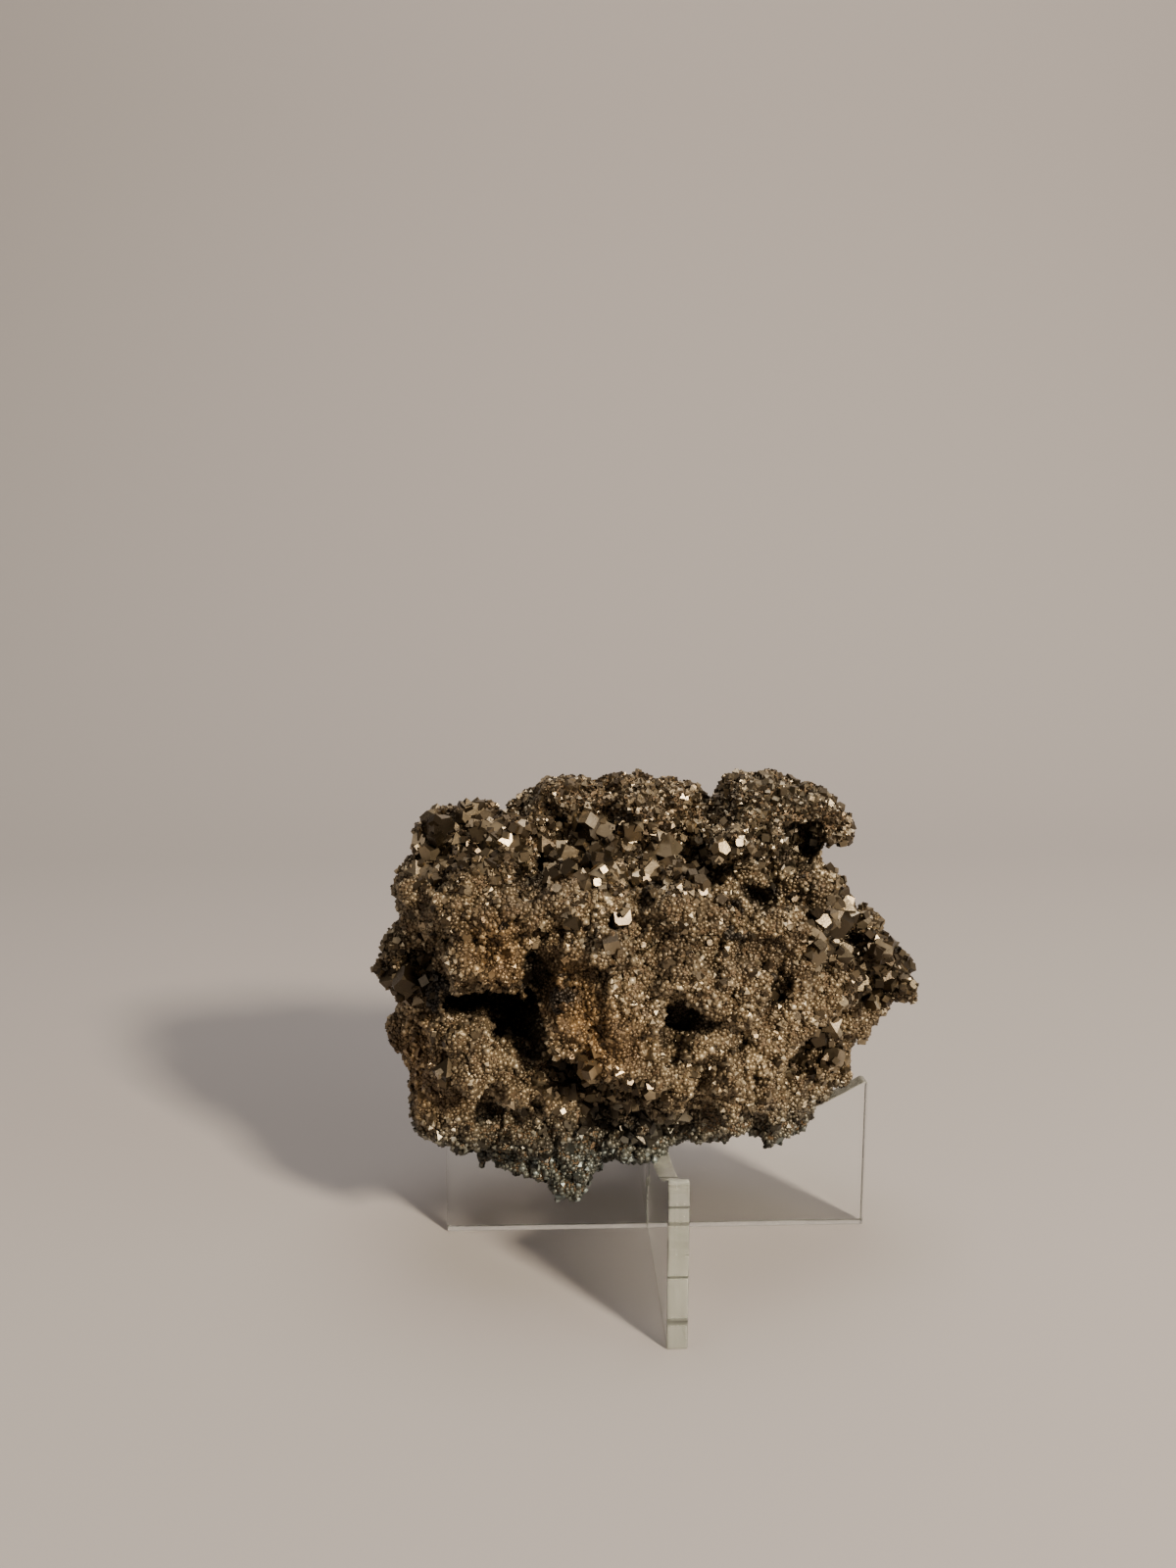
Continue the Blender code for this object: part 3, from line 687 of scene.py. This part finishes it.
def brass_finish(name, stops, smoothest, roughest, dullest, metal, wrinkled):
    """Pyrite with its own tone per crystal and face, tarnish, rust and grey, and painted shade in places
    and pits.
    """
    finish = Finish(name, Metallic=metal)
    tone = finish.add("ShaderNodeAttribute", {"attribute_name": "tone"}, {}, out=2)
    facet = finish.add("ShaderNodeAttribute", {"attribute_name": "facet"}, {}, out=2)
    shade = tone + FACET_CONTRAST * (facet - 0.5)
    brass = finish.add("ShaderNodeValToRGB", {"stops": stops}, {"Fac": shade})
    cloud = finish.noise(CLOUD_SIZE)
    start, full = CLOUD_RANGE
    dull = finish.add("ShaderNodeMapRange", {}, {0: cloud, 1: start, 2: full, 3: 0.0, 4: dullest})
    colour = finish.blend(dull, brass, TARNISH)
    # The first patches are painted shade; the rusty and grey ones are the pyrite's own colour.
    for places, tint in ((PAINTED_SHADE_PLACES, PAINTED_SHADE_TINT), (RUSTY_PLACES, RUSTY_TINT), (GREY_PLACES, GREY_TINT)):
        colour = finish.tinted(finish.patches(places, cloud), colour, tint)
    # Painted shade: darker and colder towards the bottom.
    height = finish.add("ShaderNodeSeparateXYZ", {}, {0: finish.place()}, out=2)
    fade = {0: height, 1: BELOW_START, 2: BELOW_FULL, 3: 0.0, 4: 1.0}
    colour = finish.tinted(finish.add("ShaderNodeMapRange", {}, fade), colour, PAINTED_UNDERSIDE_SHADE)
    # The colour gets painted shade in the pits and creases.
    finish.set("Base Color", finish.shaded(colour))
    finish.set("Roughness", smoothest + (roughest - smoothest) * finish.noise(GLOSS_SIZE))
    finish.crinkle(size=0.4 * MM, depth=0.12 * MM, strength=wrinkled)
    return finish


LARGE_STOPS = (
    (0.0, (0.022, 0.016, 0.009, 1)),
    (0.5, (0.064, 0.049, 0.030, 1)),
    (0.85, (0.155, 0.122, 0.076, 1)),
    (1.0, (0.36, 0.29, 0.19, 1)),
)
glossy = brass_finish(
    "pyrite_large_crystals",
    LARGE_STOPS,
    smoothest=0.20,
    roughest=0.38,
    dullest=0.5,
    metal=0.8,
    wrinkled=0.22,
)
large.data.materials.append(glossy.material)
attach(large, "root")


# ---- The coarse crystals ----
# Pyrite crystals of 1 to 3 mm with others grown through them, crowded along the ledge under the knobs,
# across the right and along the left edge, and set thinly everywhere else. Single sharp ones of half a
# millimetre to a little over one are strewn over the knobs.

COARSE_ZONES = (  # middle and reach of each crowd, in millimetres
    ((-8, -14, 71), (17, 9, 4.5)),
    ((-33, -8, 71), (11, 9, 6)),
    ((27, -8, 56), (9, 10, 6)),
    ((37, -2, 49), (7, 10, 7)),
    ((-42, -8, 50), (5, 9, 5)),
    ((-10, -18, 35), (11, 9, 4)),
    ((-4, -12, 27), (10, 9, 4)),
    ((26, -8, 37), (5, 8, 5)),
    ((10, 24, 60), (14, 9, 6)),
    ((-24, 22, 40), (12, 9, 7)),
)


def in_coarse_zone(place):
    """Whether coarse crystals crowd here."""
    for middle, reach in COARSE_ZONES:
        if sum(((c / MM - m) / r) ** 2 for c, m, r in zip(place, middle, reach)) < 1:
            return True
    return False


KNOBS_FOOT = 67 * MM  # height over which small sharp crystals cover the rock
POINT_SIDE = 28 * MM  # and how far to the right and how high they start on the right point
POINT_FOOT = 42 * MM
KNOBS_RAGGED = 5 * MM  # how far the border wanders, and the length of its bends
LARGE_CLEARANCE = 1.15  # bare ground round a large crystal's middle, in half sizes


def on_the_knobs(place):
    """Whether small sharp crystals cover this place: on the knobs, the upper edge and the right point."""
    ragged = KNOBS_RAGGED * noise.noise(place / KNOBS_RAGGED)
    return place.z + ragged > KNOBS_FOOT or (place.x + ragged > POINT_SIDE and place.z > POINT_FOOT)


def near_large_crystal(place):
    """Whether a large crystal covers this place."""
    return any((place - centre).length < LARGE_CLEARANCE * size for centre, size in large_places)


def crystal_form(habit, worn=False, add=add_crystal):
    """An object with one crystal of half size 1, for the scatter to copy. A worn one shades as round."""
    bm = bmesh.new()
    facet = bm.faces.layers.float.new("facet")
    add(bm, habit, Matrix.Identity(4), shades)
    bmesh.ops.recalc_face_normals(bm, faces=bm.faces)
    for face in bm.faces:
        face.smooth = worn
        if worn:
            face[facet] = 0.5
    return new_object("form_" + habit.replace(" ", "_"), bm)


CRYSTALS_PER_SQUARE_METRE = 1.2e7  # the most there can be; the spacing thins them out


def scatter_tree(name, forms):
    """Geometry Nodes that set crystals of the given forms all over a surface."""
    tree = bpy.data.node_groups.new(name, "GeometryNodeTree")
    ports = tree.interface
    ports.new_socket("Geometry", in_out="INPUT", socket_type="NodeSocketGeometry")
    for label in ("Spacing", "Smallest", "Largest", "Skew"):
        ports.new_socket(label, in_out="INPUT", socket_type="NodeSocketFloat")
    ports.new_socket("Seed", in_out="INPUT", socket_type="NodeSocketInt")
    ports.new_socket("Material", in_out="INPUT", socket_type="NodeSocketMaterial")
    ports.new_socket("Geometry", in_out="OUTPUT", socket_type="NodeSocketGeometry")

    def add(kind, settings=None, sockets=None):
        node = tree.nodes.new(kind)
        for key, value in (settings or {}).items():
            setattr(node, key, value)
        for key, value in (sockets or {}).items():
            if isinstance(value, bpy.types.NodeSocket):
                tree.links.new(value, node.inputs[key])
            else:
                node.inputs[key].default_value = value
        return node

    given = add("NodeGroupInput").outputs
    points = add(
        "GeometryNodeDistributePointsOnFaces",
        {"distribute_method": "POISSON"},
        {
            "Mesh": given["Geometry"],
            "Distance Min": given["Spacing"],
            "Density Max": CRYSTALS_PER_SQUARE_METRE,
            "Seed": given["Seed"],
        },
    )
    turn = add(
        "FunctionNodeRandomValue",
        {"data_type": "FLOAT_VECTOR"},
        {"Min": (0.0, 0.0, 0.0), "Max": (math.tau, math.tau, math.tau), "Seed": given["Seed"]},
    )
    rotation = add("FunctionNodeEulerToRotation", {}, {0: turn.outputs[0]})
    chance = add("FunctionNodeRandomValue", {"data_type": "FLOAT"}, {"Seed": given["Seed"]})
    skewed = add("ShaderNodeMath", {"operation": "POWER"}, {0: chance.outputs[1], 1: given["Skew"]})
    size = add(
        "ShaderNodeMapRange",
        {},
        {"Value": skewed.outputs[0], "To Min": given["Smallest"], "To Max": given["Largest"]},
    )
    last = len(forms) - 1
    choice = add("FunctionNodeRandomValue", {"data_type": "INT"}, {4: 0, 5: last, "Seed": given["Seed"]})
    gather = add("GeometryNodeJoinGeometry")
    for form in forms:
        source = add("GeometryNodeObjectInfo", {}, {"Object": form, "As Instance": True})
        tree.links.new(source.outputs["Geometry"], gather.inputs[0])
    crystals = add(
        "GeometryNodeInstanceOnPoints",
        {},
        {
            "Points": points.outputs["Points"],
            "Instance": gather.outputs[0],
            "Pick Instance": True,
            "Instance Index": choice.outputs[2],
            "Rotation": rotation.outputs[0],
            "Scale": size.outputs[0],
        },
    )
    tone = add("FunctionNodeRandomValue", {"data_type": "FLOAT"}, {"Seed": given["Seed"]})
    toned = add(
        "GeometryNodeStoreNamedAttribute",
        {"data_type": "FLOAT", "domain": "INSTANCE"},
        {"Geometry": crystals.outputs[0], "Name": "tone", "Value": tone.outputs[1]},
    )
    real = add("GeometryNodeRealizeInstances", {}, {"Geometry": toned.outputs[0]})
    made = add("GeometryNodeSetMaterial", {}, {"Geometry": real.outputs[0], "Material": given["Material"]})
    add("NodeGroupOutput", {}, {"Geometry": made.outputs[0]})
    return tree


def region_of_crust(name, keep):
    """A copy of the faces of the crust for which keep(centre) holds, less those under large crystals."""
    bm = bmesh.new()
    bm.from_mesh(crust.data)
    spare = []
    for face in bm.faces:
        centre = face.calc_center_median()
        if not keep(centre) or near_large_crystal(centre):
            spare.append(face)
    bmesh.ops.delete(bm, geom=spare, context="FACES")
    return new_object(name, bm)


def grow(region, tree, sizes, material):
    """Runs the scatter on a region and leaves the crystals as a plain mesh."""
    modifier = region.modifiers.new("Crystals", "NODES")
    modifier.node_group = tree
    values = {**sizes, "Material": material}
    for item in tree.interface.items_tree:
        if item.in_out == "INPUT" and item.name in values:
            modifier[item.identifier] = values[item.name]
    take_evaluated(region)
    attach(region, "root")


coarse_habits = ("cube", "octahedron", "cut cube", "cube", "octahedron", "pyritohedron")
coarse_forms = [crystal_form(habit, add=add_cluster) for habit in coarse_habits]
coarse_tree = scatter_tree("coarse_crystals", coarse_forms)
COARSE_STOPS = (
    (0.0, (0.021, 0.015, 0.009, 1)),
    (0.5, (0.064, 0.047, 0.027, 1)),
    (0.9, (0.170, 0.130, 0.078, 1)),
    (1.0, (0.36, 0.29, 0.19, 1)),
)
coarse_brass = brass_finish(
    "pyrite_coarse_crystals",
    COARSE_STOPS,
    smoothest=0.25,
    roughest=0.45,
    dullest=0.7,
    metal=0.8,
    wrinkled=0.35,
)
band_sizes = {"Spacing": 1.45 * MM, "Smallest": 0.42 * MM, "Largest": 1.45 * MM, "Skew": 2.0, "Seed": 3}
thin_sizes = {"Spacing": 3.2 * MM, "Smallest": 0.35 * MM, "Largest": 0.85 * MM, "Skew": 2.0, "Seed": 4}
grow(region_of_crust("pyrite_coarse_bands", in_coarse_zone), coarse_tree, band_sizes, coarse_brass.material)
grow(
    region_of_crust("pyrite_coarse_scatter", lambda place: not in_coarse_zone(place)),
    coarse_tree,
    thin_sizes,
    coarse_brass.material,
)
sharp_sizes = {"Spacing": 1.05 * MM, "Smallest": 0.25 * MM, "Largest": 0.65 * MM, "Skew": 2.6, "Seed": 6}
sharp_forms = [crystal_form(habit) for habit in ("cube", "octahedron")]
sharp_tree = scatter_tree("sharp_crystals", sharp_forms)
grow(region_of_crust("pyrite_sharp_crystals", on_the_knobs), sharp_tree, sharp_sizes, coarse_brass.material)
for form in coarse_forms:
    bpy.data.objects.remove(form)


# ---- The fine crystals ----
# A druse of pyrite crystals a third of a millimetre to a millimetre across covers the whole rock, each
# turned its own way and half sunk in the crust. Those on the knobs are sharp and clean. The rest are
# tarnished brown, and most of them are worn round.

WORN_STOPS = (
    (0.0, (0.098, 0.070, 0.037, 1)),
    (0.5, (0.165, 0.120, 0.066, 1)),
    (0.9, (0.245, 0.184, 0.105, 1)),
    (0.97, (0.33, 0.26, 0.16, 1)),
    (1.0, (0.62, 0.52, 0.35, 1)),
)
SHARP_STOPS = (
    (0.0, (0.021, 0.015, 0.008, 1)),
    (0.5, (0.062, 0.045, 0.025, 1)),
    (0.9, (0.165, 0.125, 0.075, 1)),
    (1.0, (0.48, 0.39, 0.26, 1)),
)
worn_brass = brass_finish(
    "pyrite_worn_druse",
    WORN_STOPS,
    smoothest=0.34,
    roughest=0.54,
    dullest=0.75,
    metal=0.55,
    wrinkled=0.6,
)
sharp_brass = brass_finish(
    "pyrite_sharp_druse",
    SHARP_STOPS,
    smoothest=0.24,
    roughest=0.42,
    dullest=0.6,
    metal=0.8,
    wrinkled=0.9,
)
worn_forms = [
    crystal_form("octahedron"),
    crystal_form("octahedron", worn=True),
    crystal_form("octahedron", worn=True),
    crystal_form("cube", worn=True),
]
worn_tree = scatter_tree("worn_crystals", worn_forms)
druse_sizes = {"Spacing": 0.50 * MM, "Smallest": 0.22 * MM, "Largest": 0.46 * MM, "Skew": 1.6, "Seed": 5}
knob_sizes = {"Spacing": 0.43 * MM, "Smallest": 0.16 * MM, "Largest": 0.34 * MM, "Skew": 1.6, "Seed": 5}
sharp_left = region_of_crust("pyrite_druse_knobs_left", lambda c: on_the_knobs(c) and c.x < 0)
sharp_right = region_of_crust("pyrite_druse_knobs_right", lambda c: on_the_knobs(c) and c.x >= 0)
for region in (sharp_left, sharp_right):
    grow(region, sharp_tree, knob_sizes, sharp_brass.material)
FRONT_LEFT_SPLIT = 48 * MM  # height at which the front left is cut in two, so that neither piece is heavy
WORN_REGIONS = {
    "front_left_upper": lambda c: c.y < 0 and c.x < 0 and c.z > FRONT_LEFT_SPLIT,
    "front_left_lower": lambda c: c.y < 0 and c.x < 0 and c.z <= FRONT_LEFT_SPLIT,
    "front_right": lambda c: c.y < 0 and c.x >= 0,
    "back_left": lambda c: c.y >= 0 and c.x < 0,
    "back_right": lambda c: c.y >= 0 and c.x >= 0,
}
for label, inside in WORN_REGIONS.items():
    region = region_of_crust("pyrite_druse_" + label, lambda c: inside(c) and not on_the_knobs(c))
    grow(region, worn_tree, druse_sizes, worn_brass.material)
for form in (*worn_forms, *sharp_forms):
    bpy.data.objects.remove(form)
